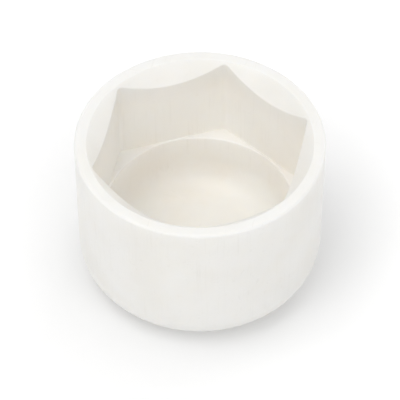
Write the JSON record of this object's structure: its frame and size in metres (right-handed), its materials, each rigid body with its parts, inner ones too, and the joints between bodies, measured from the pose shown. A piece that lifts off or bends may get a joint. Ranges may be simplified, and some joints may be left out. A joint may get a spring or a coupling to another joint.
{
  "type": "screw cover cap",
  "caption": "Round white plastic cap, closed at one end, with a hexagonal socket behind a conical lead-in. It presses over a hexagon nut or bolt head to cover it.",
  "frame": {"origin": "centre of the flat of the closed end, on which the cap stands", "axes": "+Z along the cap's axis, out of its mouth; +X through the middle of one flat of the socket, +Y through one of its corners"},
  "size_m": [0.022, 0.022, 0.015],
  "materials": {
    "polyethylene": "satin, as moulded"
  },
  "bodies": {
    "root": {"cap": "polyethylene"}
  },
  "joints": []
}
